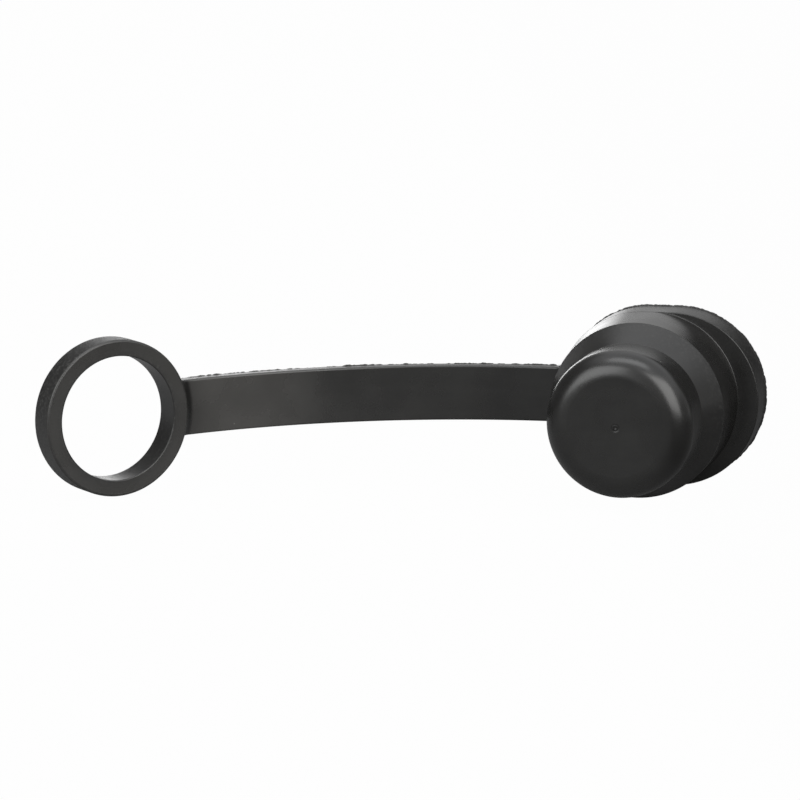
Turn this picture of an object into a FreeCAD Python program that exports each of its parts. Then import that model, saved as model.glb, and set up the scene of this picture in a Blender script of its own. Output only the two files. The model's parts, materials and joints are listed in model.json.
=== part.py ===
"""Tethered port dust cap: one soft moulding with a stepped hollow plug, a flat strap and a retaining ring.

The moulding is drawn with the plug's axis along Y, its nose towards -Y and the strap leaving towards -X,
then laid down as it comes to rest: on the body's front rim, the flange and the ring's rim.
"""
import FreeCAD
import Part
import math
import os

Vector = FreeCAD.Vector

# Plug, from the nose back to the flange (mm)
nose_diameter = 29.9
nose_length = 12.9
nose_round = 4.9
shoulder_length = 6.9
body_diameter = 36.0
body_length = 14.5
body_flare = 0.35
wall = 2.8

# Gate mark at the middle of the nose face (mm)
gate_diameter = 1.8
gate_depth = 0.3
gate_stub_diameter = 0.7
gate_stub_height = 0.2

# Oval flange: the body widens into it towards the strap, and its other end stands out as a tab
# whose sides lie a hair inside those of the body (mm)
flange_thickness = 8.6
flange_reach_at_strap = 1.6
flange_reach_at_tab = 4.3
tab_drop = 0.02

# Strap, bent in one even curve so that the ring and the nose face each other (mm, degrees)
strap_width = 11.5
strap_thickness = 3.0
strap_setback = 0.5
strap_length = 81.6
strap_bend = 47.0

# Retaining ring, flush with the back of the strap (mm)
ring_outer_diameter = 32.1
ring_bore_diameter = 25.4
ring_thickness = 6.0

# Roundings (mm)
edge_round = 0.5
strap_edge_round = 0.4
strap_root_round = 2.5

# Places along the plug's axis, with the back of the flange at zero
flange_front_y = -flange_thickness
body_rim_y = flange_front_y - body_length
shoulder_foot_y = body_rim_y - shoulder_length
nose_face_y = shoulder_foot_y - nose_length
flare_start_y = body_rim_y + edge_round

nose_radius = nose_diameter / 2
body_radius = body_diameter / 2
flange_radius = body_radius + body_flare
tab_radius = flange_radius - tab_drop
ring_radius = ring_outer_diameter / 2
ring_bore_radius = ring_bore_diameter / 2
nose_cavity_radius = nose_radius - wall
body_cavity_radius = body_radius - wall
cavity_floor_y = nose_face_y + wall

# Strap roots: distance from a rim's centre at which its hollow corners run into the strap's sides
root_half_width = strap_width / 2 + strap_root_round
flange_root_end = math.sqrt((flange_radius + strap_root_round) ** 2 - root_half_width ** 2)
ring_root_end = math.sqrt((ring_radius + strap_root_round) ** 2 - root_half_width ** 2)

# Strap line in plan: its middle layer leaves the flange along -X, then bends along an arc towards -Y
strap_mid_y = flange_front_y + strap_setback + strap_thickness / 2
bend_length = strap_length - (flange_root_end - flange_radius) - (ring_root_end - ring_radius)
bend_angle = math.radians(strap_bend)
bend_radius = bend_length / bend_angle
bend_start = Vector(-flange_reach_at_strap - flange_root_end, strap_mid_y, 0)
bend_centre = bend_start - Vector(0, bend_radius, 0)
ring_normal = Vector(math.sin(bend_angle), -math.cos(bend_angle), 0)
ring_from_strap = Vector(-math.cos(bend_angle), -math.sin(bend_angle), 0)
bend_end = bend_centre - ring_normal * bend_radius
strap_to_ring = bend_end + ring_from_strap * ring_root_end
ring_middle = strap_to_ring + ring_normal * (ring_thickness - strap_thickness) / 2


def rounded_wire(corners):
    """Closed wire through corners (x, y, radius), each corner with a radius replaced by a tangent arc."""
    points = [Vector(x, y, 0) for x, y, radius in corners]
    joints = []
    for index, here in enumerate(points):
        radius = corners[index][2]
        back = (points[index - 1] - here).normalize()
        ahead = (points[(index + 1) % len(points)] - here).normalize()
        if radius == 0:
            joints.append((here, None, here))
            continue
        half_angle = back.getAngle(ahead) / 2
        bisector = (back + ahead).normalize()
        cut = radius / math.tan(half_angle)
        crown = here + bisector * (radius / math.sin(half_angle) - radius)
        joints.append((here + back * cut, crown, here + ahead * cut))
    edges = []
    for index, (arc_start, crown, arc_end) in enumerate(joints):
        line_start = joints[index - 1][2]
        if line_start.distanceToPoint(arc_start) > Part.Precision.confusion():
            edges.append(Part.LineSegment(line_start, arc_start).toShape())
        if crown is not None:
            edges.append(Part.Arc(arc_start, crown, arc_end).toShape())
    return Part.Wire(edges)


def turned(corners):
    """Solid turned about the plug's axis from corners (radius, y, rounding)."""
    return Part.Face(rounded_wire(corners)).revolve(Vector(0, 0, 0), Vector(0, 1, 0), 360)


def plug_outside():
    """Nose with its gate mark, conical shoulder and the body's rim, as far as the body starts to widen."""
    stub_radius = gate_stub_diameter / 2
    gate_floor_y = nose_face_y + gate_depth
    stub_tip_y = gate_floor_y - gate_stub_height
    return turned([
        (0, stub_tip_y, 0),
        (stub_radius, stub_tip_y, 0),
        (stub_radius, gate_floor_y, 0),
        (gate_diameter / 2, nose_face_y, 0),
        (nose_radius, nose_face_y, nose_round),
        (nose_radius, shoulder_foot_y, edge_round),
        (body_radius, body_rim_y, edge_round),
        (body_radius, flare_start_y, 0),
        (0, flare_start_y, 0),
    ])


def plug_cavity():
    """Hollow of the plug, one wall inside the outer steps, with a rounded mouth at the flange's back."""
    return turned([
        (0, cavity_floor_y, 0),
        (nose_cavity_radius, cavity_floor_y, max(nose_round - wall, edge_round)),
        (nose_cavity_radius, shoulder_foot_y, edge_round),
        (body_cavity_radius, body_rim_y, edge_round),
        (body_cavity_radius, 0, edge_round),
        (body_cavity_radius + 2 * edge_round, 0, 0),
        (body_cavity_radius + 2 * edge_round, flange_thickness, 0),
        (0, flange_thickness, 0),
    ])


def oval_wire(y, radius, left_reach, right_reach):
    """Oval across the axis: two equal end arcs, set off to the left and the right, and straight sides."""
    left = Vector(-left_reach, y, 0)
    right = Vector(right_reach, y, 0)
    up = Vector(0, 0, radius)
    out = Vector(radius, 0, 0)
    return Part.Wire([
        Part.LineSegment(left + up, right + up).toShape(),
        Part.Arc(right + up, right + out, right - up).toShape(),
        Part.LineSegment(right - up, left - up).toShape(),
        Part.Arc(left - up, left - out, left + up).toShape(),
    ])


def parted_circle(y, radius):
    """Circle about the axis in four arcs, the short ones answering to the straight sides of an oval."""
    side = flange_reach_at_strap / flange_radius
    top, bottom = math.pi / 2, math.pi * 3 / 2

    def arc(first, last):
        angles = (first, (first + last) / 2, last)
        ends = [Vector(radius * math.cos(angle), y, radius * math.sin(angle)) for angle in angles]
        return Part.Arc(*ends).toShape()

    return Part.Wire([
        arc(top + side, top),
        arc(top, -top),
        arc(bottom, bottom - side),
        arc(bottom - side, top + side),
    ])


def widening_body():
    """Body from its rim to the back of the flange, widening to the flange's oval on the strap's side."""
    return Part.makeLoft([
        parted_circle(flare_start_y, body_radius),
        oval_wire(flange_front_y, flange_radius, flange_reach_at_strap, 0),
        oval_wire(0, flange_radius, flange_reach_at_strap, 0),
    ], True, True)


def flange_tab():
    """Oval end of the flange that stands out from the body opposite the strap."""
    outline = oval_wire(flange_front_y, tab_radius, 0, flange_reach_at_tab)
    return Part.Face(outline).extrude(Vector(0, flange_thickness, 0))


def on_arc(radius, angle):
    """Point on a circle about the bend's centre, at an angle along the strap from the flange."""
    return bend_centre + Vector(-math.sin(angle), math.cos(angle), 0) * radius


def strap_bend_band():
    """Curved length of the strap between its two roots."""
    inner = bend_radius - strap_thickness / 2
    outer = bend_radius + strap_thickness / 2
    low_side = Vector(0, 0, -strap_width / 2)
    front_start = on_arc(inner, 0) + low_side
    front_end = on_arc(inner, bend_angle) + low_side
    back_start = on_arc(outer, 0) + low_side
    back_end = on_arc(outer, bend_angle) + low_side
    outline = Part.Wire([
        Part.Arc(front_start, on_arc(inner, bend_angle / 2) + low_side, front_end).toShape(),
        Part.LineSegment(front_end, back_end).toShape(),
        Part.Arc(back_end, on_arc(outer, bend_angle / 2) + low_side, back_start).toShape(),
        Part.LineSegment(back_start, front_start).toShape(),
    ])
    return Part.Face(outline).extrude(Vector(0, 0, strap_width))


def strap_root(rim_radius, root_end):
    """Plate with hollow corners between the strap's sides and a round rim.

    The rim's centre is at the origin, the strap leaves along +X and the plate's thickness is along Y.
    """
    corner = Vector(root_end, 0, root_half_width)
    towards_rim = (corner * -1).normalize()
    on_rim = corner + towards_rim * strap_root_round
    on_strap = Vector(root_end, 0, strap_width / 2)
    crown = corner + (towards_rim + Vector(0, 0, -1)).normalize() * strap_root_round
    depth_in_rim = 2 * strap_edge_round
    inside = on_rim + towards_rim * depth_in_rim
    inside_middle = Vector(rim_radius - depth_in_rim, 0, 0)

    def mirrored(point):
        return Vector(point.x, point.y, -point.z)

    outline = Part.Wire([
        Part.Arc(on_rim, crown, on_strap).toShape(),
        Part.LineSegment(on_strap, mirrored(on_strap)).toShape(),
        Part.Arc(mirrored(on_strap), mirrored(crown), mirrored(on_rim)).toShape(),
        Part.LineSegment(mirrored(on_rim), mirrored(inside)).toShape(),
        Part.Arc(mirrored(inside), inside_middle, inside).toShape(),
        Part.LineSegment(inside, on_rim).toShape(),
    ])
    plate = Part.Face(outline).extrude(Vector(0, strap_thickness, 0))
    plate.translate(Vector(0, -strap_thickness / 2, 0))
    return plate


def strap():
    """Flat strap from just inside the flange's rim to just inside the ring's, its long edges rounded."""
    flange_root = strap_root(flange_radius, flange_root_end)
    flange_root.rotate(Vector(0, 0, 0), Vector(0, 0, 1), 180)
    flange_root.translate(Vector(-flange_reach_at_strap, strap_mid_y, 0))
    ring_root = turned_to_ring(strap_root(ring_radius, ring_root_end), strap_to_ring)
    whole = strap_bend_band().fuse([flange_root, ring_root]).removeSplitter()
    long_radii = (bend_radius - strap_thickness / 2, bend_radius + strap_thickness / 2, strap_root_round)
    circles = [edge for edge in whole.Edges if isinstance(edge.Curve, Part.Circle)]
    long_edges = [edge for edge in circles
                  if min(abs(edge.Curve.Radius - radius) for radius in long_radii) < Part.Precision.confusion()]
    return whole.makeFillet(strap_edge_round, long_edges)


def retaining_ring():
    """Ring of oblong section with rounded rims, turned about Y at the origin."""
    half = ring_thickness / 2
    return turned([
        (ring_bore_radius, -half, edge_round),
        (ring_radius, -half, edge_round),
        (ring_radius, half, edge_round),
        (ring_bore_radius, half, edge_round),
    ])


def turned_to_ring(shape, centre):
    """Shape drawn about Y at the origin, turned to the ring's heading and moved to a centre."""
    shape.rotate(Vector(0, 0, 0), Vector(0, 0, 1), strap_bend)
    shape.translate(centre)
    return shape


def moulding():
    """The whole piece in the frame of its plug."""
    plug = plug_outside().fuse([widening_body(), flange_tab()]).removeSplitter()
    ring = turned_to_ring(retaining_ring(), ring_middle)
    whole = plug.fuse([strap(), ring])
    return whole.cut(plug_cavity()).removeSplitter()


def rest_up():
    """Upward direction, in the plug's frame, of the piece lying on the body's rim, the flange and the ring."""
    axis = Vector(0, 1, 0)
    body_rim = Vector(0, body_rim_y, 0)
    flange_rim = Vector(-flange_reach_at_strap, flange_front_y, 0)
    ring_rim = ring_middle + ring_normal * ring_thickness / 2
    to_body = body_rim - flange_rim
    to_ring = ring_rim - flange_rim
    up = Vector(0, 0, 1)
    settling_steps = 30
    for _ in range(settling_steps):
        plug_drop = math.sqrt(1 - up.dot(axis) ** 2)
        ring_drop = math.sqrt(1 - up.dot(ring_normal) ** 2)
        body_rise = (body_radius - flange_radius) * plug_drop
        ring_rise = ring_radius * ring_drop - flange_radius * plug_drop
        across = to_body.x * to_ring.y - to_body.y * to_ring.x
        up_x = (body_rise * to_ring.y - ring_rise * to_body.y) / across
        up_y = (ring_rise * to_body.x - body_rise * to_ring.x) / across
        up = Vector(up_x, up_y, math.sqrt(1 - up_x ** 2 - up_y ** 2))
    return up


def rest_placement(shape):
    """Placement that lays the piece down, with the middle of its box's foot at the origin."""
    turn = FreeCAD.Placement(Vector(0, 0, 0), FreeCAD.Rotation(rest_up(), Vector(0, 0, 1)))
    laid = shape.copy()
    laid.Placement = turn
    box = laid.optimalBoundingBox(False)
    foot = Vector((box.XMin + box.XMax) / 2, (box.YMin + box.YMax) / 2, box.ZMin)
    return FreeCAD.Placement(foot * -1, turn.Rotation)


dust_cap = moulding()
placement = rest_placement(dust_cap)
dust_cap.Placement = placement
os.makedirs("parts", exist_ok=True)
dust_cap.exportStep("parts/dust_cap.step")
print("solids", len(dust_cap.Solids), "valid", dust_cap.isValid(), "volume mm3", round(dust_cap.Volume, 1))
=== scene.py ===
"""Looks of a tethered port dust cap: one soft black moulding of plug, strap and retaining ring."""

import json
import logging
import math
from dataclasses import dataclass
from enum import Enum
from typing import Any, Dict, List, Optional, Sequence, Tuple, Union

import bmesh
import bpy
import numpy as np
from mathutils import Matrix, Vector, kdtree, noise


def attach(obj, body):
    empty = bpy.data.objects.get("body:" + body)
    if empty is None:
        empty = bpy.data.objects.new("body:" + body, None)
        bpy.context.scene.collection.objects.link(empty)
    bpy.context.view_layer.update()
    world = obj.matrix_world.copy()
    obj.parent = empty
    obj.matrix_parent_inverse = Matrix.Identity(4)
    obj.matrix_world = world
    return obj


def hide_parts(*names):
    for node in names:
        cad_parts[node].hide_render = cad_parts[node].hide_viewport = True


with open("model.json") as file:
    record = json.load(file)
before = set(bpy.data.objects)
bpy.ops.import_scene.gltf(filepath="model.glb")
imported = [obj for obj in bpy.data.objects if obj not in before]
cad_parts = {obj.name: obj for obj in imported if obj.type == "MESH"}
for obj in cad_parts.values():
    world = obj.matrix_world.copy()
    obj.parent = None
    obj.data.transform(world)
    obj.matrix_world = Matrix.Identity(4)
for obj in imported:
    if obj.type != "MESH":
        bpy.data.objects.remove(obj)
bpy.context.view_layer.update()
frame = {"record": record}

LOG = logging.getLogger("dust_cap")
MM = 0.001
NODE = "dust_cap"
BODY = "root"
TRIM = "trim"
ALONG = np.array([0.0, 1.0, 0.0])
# In mm: how far the extra points beside a rounding lie from it, and the longest straight run left undivided
HOLD = 0.12
LONGEST_RUN = 2.0
CREASE_DEG = 32.0

Span = Tuple[float, float]
Triple = Tuple[float, float, float]
Colour = Triple
Corner = Tuple[float, float, float, "Surface"]
Loop = np.ndarray


class Surface(Enum):
    """How a stretch of the moulding was left by its mould: the share of trimmed, rougher skin on it."""

    SATIN = 0.0
    EDGE = 0.45
    TRIMMED = 1.0


class MathOp(Enum):
    """Sums that the shader expressions use."""

    ADD = "ADD"
    SUBTRACT = "SUBTRACT"
    MULTIPLY = "MULTIPLY"
    DIVIDE = "DIVIDE"
    GREATER = "GREATER_THAN"
    LESS = "LESS_THAN"


class StrapSide(Enum):
    """The strap's two narrow sides, as the sign of their height."""

    UPPER = 1.0
    LOWER = -1.0


# Shader expressions


class Value:
    """A number that varies over a surface: an output socket whose sums become Math nodes."""

    def __init__(self, graph: "Graph", socket: bpy.types.NodeSocket) -> None:
        """Wraps a socket.

        Args:
            graph: the graph that the socket belongs to.
            socket: the output socket that carries the number.
        """
        self.graph = graph
        self.socket = socket

    def _sum(self, op: MathOp, first: "Number", second: "Number") -> "Value":
        """Adds one Math node.

        Args:
            op: the sum.
            first: its first number.
            second: its second number.

        Returns:
            The result as a value.
        """
        made = self.graph.node("ShaderNodeMath", {"operation": op.value}, {0: first, 1: second})
        return Value(self.graph, made.outputs[0])

    def __add__(self, other: "Number") -> "Value":
        """self + other."""
        return self._sum(MathOp.ADD, self, other)

    def __radd__(self, other: "Number") -> "Value":
        """other + self."""
        return self._sum(MathOp.ADD, other, self)

    def __sub__(self, other: "Number") -> "Value":
        """self - other."""
        return self._sum(MathOp.SUBTRACT, self, other)

    def __rsub__(self, other: "Number") -> "Value":
        """other - self."""
        return self._sum(MathOp.SUBTRACT, other, self)

    def __mul__(self, other: "Number") -> "Value":
        """self * other."""
        return self._sum(MathOp.MULTIPLY, self, other)

    def __rmul__(self, other: "Number") -> "Value":
        """other * self."""
        return self._sum(MathOp.MULTIPLY, other, self)

    def __truediv__(self, other: "Number") -> "Value":
        """self / other."""
        return self._sum(MathOp.DIVIDE, self, other)

    def __rtruediv__(self, other: "Number") -> "Value":
        """other / self."""
        return self._sum(MathOp.DIVIDE, other, self)

    def __gt__(self, other: "Number") -> "Value":
        """1 where self is above other."""
        return self._sum(MathOp.GREATER, self, other)

    def __lt__(self, other: "Number") -> "Value":
        """1 where self is below other."""
        return self._sum(MathOp.LESS, self, other)

    def between(self, low: float, high: float) -> "Value":
        """Eases from 0 at low to 1 at high.

        Args:
            low: the value that gives 0.
            high: the value that gives 1.

        Returns:
            The eased value.
        """
        made = self.graph.node(
            "ShaderNodeMapRange",
            {"interpolation_type": "SMOOTHSTEP"},
            {"Value": self, "From Min": low, "From Max": high},
        )
        return Value(self.graph, made.outputs["Result"])


Number = Union[Value, float, int]


class Graph:
    """A node tree that is filled by expressions."""

    def __init__(self, tree: bpy.types.NodeTree) -> None:
        """Empties a tree.

        Args:
            tree: the node tree to fill.
        """
        self.tree = tree
        tree.nodes.clear()

    def node(
        self,
        kind: str,
        settings: Optional[Dict[str, Any]] = None,
        inputs: Optional[Dict[Union[str, int], Any]] = None,
    ) -> bpy.types.Node:
        """Adds a node.

        Args:
            kind: the node's type.
            settings: its own properties, which are set first.
            inputs: values, sockets or expressions for its sockets, by name or place.

        Returns:
            The new node.
        """
        made = self.tree.nodes.new(kind)
        for name, setting in (settings or {}).items():
            setattr(made, name, setting)
        for key, given in (inputs or {}).items():
            socket = made.inputs[key]
            if isinstance(given, Value):
                self.tree.links.new(given.socket, socket)
            elif isinstance(given, bpy.types.NodeSocket):
                self.tree.links.new(given, socket)
            else:
                socket.default_value = given
        return made

    def value(
        self, kind: str, output: str, settings: Dict[str, Any], inputs: Dict[Union[str, int], Any]
    ) -> Value:
        """Adds a node and takes one of its outputs as a number.

        Args:
            kind: the node's type.
            output: the output's name.
            settings: the node's own properties.
            inputs: what goes into its sockets.

        Returns:
            The output as a value.
        """
        return Value(self, self.node(kind, settings, inputs).outputs[output])

    def mixed(self, share: Number, first: Any, second: Any) -> bpy.types.NodeSocket:
        """Mixes two colours.

        Args:
            share: how much of the second colour shows.
            first: a colour or a colour socket.
            second: a colour or a colour socket.

        Returns:
            The mixed colour's socket.
        """
        a, b = (c if isinstance(c, bpy.types.NodeSocket) else (*c, 1.0) for c in (first, second))
        made = self.node("ShaderNodeMix", {"data_type": "RGBA"}, {0: share, 6: a, 7: b})
        return made.outputs[2]

    def noise(self, where: Any, scale: float, detail: float = 2.0, rough: float = 0.5) -> Value:
        """Cloudy noise between 0 and 1.

        Args:
            where: the vector socket that it is read at.
            scale: lumps to the metre.
            detail: octaves on top of the first.
            rough: how strong each next octave is.

        Returns:
            The noise as a value.
        """
        inputs = {"Vector": where, "Scale": scale, "Detail": detail, "Roughness": rough}
        return self.value("ShaderNodeTexNoise", "Fac", {}, inputs)

    def stretched(self, where: Any, scale: Triple) -> bpy.types.NodeSocket:
        """Scales a vector by axis.

        Args:
            where: the vector socket.
            scale: a factor for each axis.

        Returns:
            The scaled vector's socket.
        """
        return self.node("ShaderNodeVectorMath", {"operation": "MULTIPLY"}, {0: where, 1: scale}).outputs[0]


# Finishes


def empty_material(name: str) -> Tuple[bpy.types.Material, Graph, bpy.types.NodeSocket]:
    """A new material without nodes of its own.

    Args:
        name: the material's name.

    Returns:
        The material, its graph, and the socket of a point's place on its object.
    """
    material = bpy.data.materials.new(name)
    material.use_nodes = True
    graph = Graph(material.node_tree)
    return material, graph, graph.node("ShaderNodeTexCoord").outputs["Object"]


@dataclass(frozen=True)
class SatinRubber:
    """Soft black rubber as it leaves a satin mould, rougher where its flash was trimmed, with painted sheen
    on the ring and the strap's end.
    """

    name: str = "satin_black_rubber"
    deep: Colour = (0.0072, 0.0070, 0.0066)
    bloom: Colour = (0.0115, 0.0112, 0.0105)
    painted_sheen: Colour = (0.0450, 0.0435, 0.0408)
    # Painted sheen: a lighter grey on the ring and the strap's end in place of a broad reflection of light;
    # the spans below place it
    scuff: Colour = (0.0460, 0.0452, 0.0430)
    dust: Colour = (0.2600, 0.2550, 0.2450)
    sheen_middle: Triple = (0.0, 0.0, 0.0)
    sheen_reach: Span = (0.030, 0.054)
    sheen_end: Span = (0.070, 0.092)
    sheen_bore: Span = (0.01295, 0.0136)
    sheen_strap: Span = (0.0165, 0.0230)
    # Painted shade: a thin band just outside the ring's rim left without sheen, a dark line in the crease
    # where the strap meets the ring
    crease_shade_from: Span = (0.01635, 0.0165)
    crease_shade_to: Span = (0.0181, 0.0189)
    sheen_near: float = 0.88
    sheen_on_ring: float = 0.62
    sheen_even: float = 0.80
    cloud_lumps: float = 95.0
    cloud_range: Span = (0.30, 0.72)
    cloud_share: float = 0.6
    flow_lumps: Triple = (40.0, 40.0, 420.0)
    flow_range: Span = (0.35, 0.70)
    scuff_range: Span = (0.50, 0.66)
    scuff_share: float = 0.75
    scuff_roughness: float = 0.12
    speck_lumps: float = 330.0
    speck_radius: Span = (0.020, 0.045)
    speck_pick: float = 0.86
    speck_share: float = 0.8
    speck_roughness: float = 0.25
    roughness: float = 0.28
    roughness_spread: float = 0.06
    trimmed_roughness: float = 0.16
    bend_of_light: float = 1.53
    grain_lumps: float = 3600.0
    trim_lumps: float = 1500.0
    grain_height: float = 0.0025 * MM
    trim_height: float = 0.060 * MM

    def build(self) -> bpy.types.Material:
        """Makes the material.

        Returns:
            The new material.
        """
        material, graph, where = empty_material(self.name)
        trim = graph.value("ShaderNodeAttribute", "Fac", {"attribute_name": TRIM}, {})
        clouds = graph.noise(where, self.cloud_lumps, detail=4.0, rough=0.55).between(*self.cloud_range)
        drawn = graph.stretched(where, self.flow_lumps)
        flow = graph.noise(drawn, 1.0, detail=3.0).between(*self.flow_range)
        nibbles = graph.noise(where, self.trim_lumps, detail=4.0, rough=0.65)
        scuffs = nibbles.between(*self.scuff_range) * trim
        specks = self.specks(graph, where)
        even = self.sheen_even + clouds * (1.0 - self.sheen_even)
        # Share of painted sheen, kept off the trimmed skin
        painted_sheen = self.painted_sheen_share(graph, where) * (1.0 - trim) * even
        streaks = clouds * self.cloud_share + flow * (1.0 - self.cloud_share)
        tone = graph.mixed(streaks, self.deep, self.bloom)
        with_painted_sheen = graph.mixed(painted_sheen, tone, self.painted_sheen)
        worn = graph.mixed(scuffs * self.scuff_share, with_painted_sheen, self.scuff)
        dusty = graph.mixed(specks * self.speck_share, worn, self.dust)
        roughness = self.roughness + (clouds - 0.5) * self.roughness_spread + trim * self.trimmed_roughness
        roughness = roughness + scuffs * self.scuff_roughness + specks * self.speck_roughness
        inputs = {
            "Base Color": dusty,
            "Roughness": roughness,
            "Normal": self.relief(graph, where, nibbles * trim),
            "IOR": self.bend_of_light,
        }
        shader = graph.node("ShaderNodeBsdfPrincipled", {}, inputs)
        graph.node("ShaderNodeOutputMaterial", {}, {"Surface": shader.outputs[0]})
        return material

    def painted_sheen_share(self, graph: Graph, where: Any) -> Value:
        """Painted sheen: lighter grey on the ring and the strap's end that stands in for a broad reflection
        of light, clear of the bore, with painted shade in the corner between the two.

        Args:
            graph: the material's graph.
            where: the vector socket that it is placed by.

        Returns:
            The share of painted sheen at a point.
        """
        ends = {0: where, 1: self.sheen_middle}
        apart = graph.value("ShaderNodeVectorMath", "Value", {"operation": "DISTANCE"}, ends)
        near, far = 1.0 - apart.between(*self.sheen_reach), 1.0 - apart.between(*self.sheen_end)
        fading = near * self.sheen_near + far * (1.0 - self.sheen_near)
        spread = self.sheen_on_ring + apart.between(*self.sheen_strap) * (1.0 - self.sheen_on_ring)
        # Painted shade in the crease between ring and strap: the sheen is cleared in this band
        corner = apart.between(*self.crease_shade_from) * (1.0 - apart.between(*self.crease_shade_to))
        return fading * apart.between(*self.sheen_bore) * spread * (1.0 - corner)

    def relief(self, graph: Graph, where: Any, torn: Value) -> bpy.types.NodeSocket:
        """Fine satin grain, with the torn skin's coarser relief on top.

        Args:
            graph: the material's graph.
            where: the vector socket that the grain is placed by.
            torn: the height of the torn skin.

        Returns:
            The socket of the surface's normal.
        """
        grain = graph.noise(where, self.grain_lumps, detail=3.0, rough=0.6)
        inputs = {"Strength": 1.0, "Distance": self.grain_height, "Height": grain}
        fine = graph.node("ShaderNodeBump", {}, inputs)
        inputs = {"Strength": 1.0, "Distance": self.trim_height, "Height": torn, "Normal": fine.outputs[0]}
        return graph.node("ShaderNodeBump", {}, inputs).outputs[0]

    def specks(self, graph: Graph, where: Any) -> Value:
        """Few, tiny grains of dust.

        Args:
            graph: the material's graph.
            where: the vector socket that they are placed by.

        Returns:
            1 on a grain and 0 elsewhere.
        """
        inputs = {"Vector": where, "Scale": self.speck_lumps}
        cells = graph.node("ShaderNodeTexVoronoi", {"feature": "F1"}, inputs)
        apart = Value(graph, cells.outputs["Distance"])
        pick = graph.value("ShaderNodeSeparateColor", "Red", {}, {"Color": cells.outputs["Color"]})
        return (1.0 - apart.between(*self.speck_radius)) * (pick > self.speck_pick)


@dataclass(frozen=True)
class WhiteSheet:
    """Sheet under the part that the camera sees as white; the part's gloss shows it with painted shade,
    darker in front and with a painted shadow to the right of the plug.
    """

    name: str = "white_sheet"
    paper: Colour = (0.27, 0.27, 0.27)
    # Painted shade: the floor nearer the camera is darker, as light falling off towards the front, seen
    # only in the part's gloss
    front: Colour = (0.22, 0.22, 0.22)
    # Painted shadow of the plug on the floor to its right, seen only in the part's gloss
    shade: Colour = (0.08, 0.08, 0.08)
    front_shade_to: Span = (0.70, 0.78)
    shade_from: Span = (0.042, 0.070)
    seen_lift: float = 0.985
    mirrored_lift: float = 0.03
    far: Span = (1.2, 2.0)
    far_side: Span = (0.10, 0.30)

    def build(self) -> bpy.types.Material:
        """Makes the material; the floor's own X runs across the picture and its Y away from the camera.

        Returns:
            The new material.
        """
        material, graph, where = empty_material(self.name)
        place = graph.node("ShaderNodeSeparateXYZ", {}, {0: where}).outputs
        across, away = Value(graph, place["X"]), Value(graph, place["Y"])
        # Painted shade: darker floor in front of the part
        tone = graph.mixed(away.between(*self.front_shade_to), self.front, self.paper)
        # Painted shadow: dark floor to the right of the plug
        tone = graph.mixed(across.between(*self.shade_from), tone, self.shade)
        far = away.between(*self.far) * (1.0 - (across / away).between(*self.far_side))
        path = graph.node("ShaderNodeLightPath").outputs
        seen = Value(graph, path["Is Camera Ray"]) + Value(graph, path["Is Transmission Ray"])
        mirrored = self.mirrored_lift + far * (1.0 - self.mirrored_lift)
        lift = seen * self.seen_lift + Value(graph, path["Is Glossy Ray"]) * mirrored
        board = graph.node("ShaderNodeBsdfDiffuse", {}, {"Color": tone})
        glow = graph.node("ShaderNodeEmission", {}, {"Color": (1.0, 1.0, 1.0, 1.0), "Strength": 1.0})
        sheet = graph.node("ShaderNodeMixShader", {}, {0: lift, 1: board.outputs[0], 2: glow.outputs[0]})
        graph.node("ShaderNodeOutputMaterial", {}, {"Surface": sheet.outputs[0]})
        return material


# Mesh helpers


def eased_noise(x: float, y: float, z: float) -> float:
    """Smooth noise at a point, between about -1 and 1."""
    return noise.noise(Vector((x, y, z)))


def linked(name: str, data: bpy.types.ID) -> bpy.types.Object:
    """A new object in the scene.

    Args:
        name: its name.
        data: the mesh, lamp or camera that it shows.

    Returns:
        The object.
    """
    made = bpy.data.objects.new(name, data)
    bpy.context.scene.collection.objects.link(made)
    return made


def quarter_turn(steps: int) -> List[Triple]:
    """(share, cosine, sine) of evenly spaced angles over a quarter turn."""
    angles = [step / steps * math.pi / 2 for step in range(steps + 1)]
    return [(step / steps, math.cos(angle), math.sin(angle)) for step, angle in enumerate(angles)]


def offset_loop(outline: Tuple[Loop, Loop], out: Any, height: Any) -> Loop:
    """An outline across the plug's axis, moved out along its normals and set at a height.

    Args:
        outline: its points and normals.
        out: how far it moves, for all points or for each.
        height: where it lies along the axis, for all points or for each.

    Returns:
        The loop.
    """
    points, normals = outline
    return points + normals * np.reshape(out, (-1, 1)) + np.outer(height, ALONG)


def rounded_outline(corners: Sequence[Corner], steps: int, closed: bool) -> List[Triple]:
    """Points of an outline with arcs for corners, and a close extra point on each side of an arc.

    Args:
        corners: (across, along, radius, surface) of each corner.
        steps: facets to an arc.
        closed: whether the outline comes back to its start.

    Returns:
        (across, along, share of trimmed skin) of each point.
    """
    count = len(corners)
    places = [np.array(c[:2], float) for c in corners]
    points: List[Triple] = []
    for index, (across, along, radius, surface) in enumerate(corners):
        here = places[index]
        at_end = not closed and index in (0, count - 1)
        if radius == 0 or at_end:
            points.append((across, along, surface.value))
            continue
        back = places[index - 1] - here
        ahead = places[(index + 1) % count] - here
        back, ahead = back / np.linalg.norm(back), ahead / np.linalg.norm(ahead)
        half = math.acos(max(-1.0, min(1.0, float(back @ ahead)))) / 2
        cut = radius / math.tan(half)
        middle = here + (back + ahead) / np.linalg.norm(back + ahead) * radius / math.sin(half)
        first, last = here + back * cut - middle, here + ahead * cut - middle
        turn = math.atan2(first[0] * last[1] - first[1] * last[0], float(first @ last))
        points.append((*(here + back * (cut + HOLD)), surface.value))
        for step in range(steps + 1):
            angle = turn * step / steps
            c, s = math.cos(angle), math.sin(angle)
            spot = middle + np.array([first[0] * c - first[1] * s, first[0] * s + first[1] * c])
            points.append((*spot, surface.value))
        points.append((*(here + ahead * (cut + HOLD)), surface.value))
    return points


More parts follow.
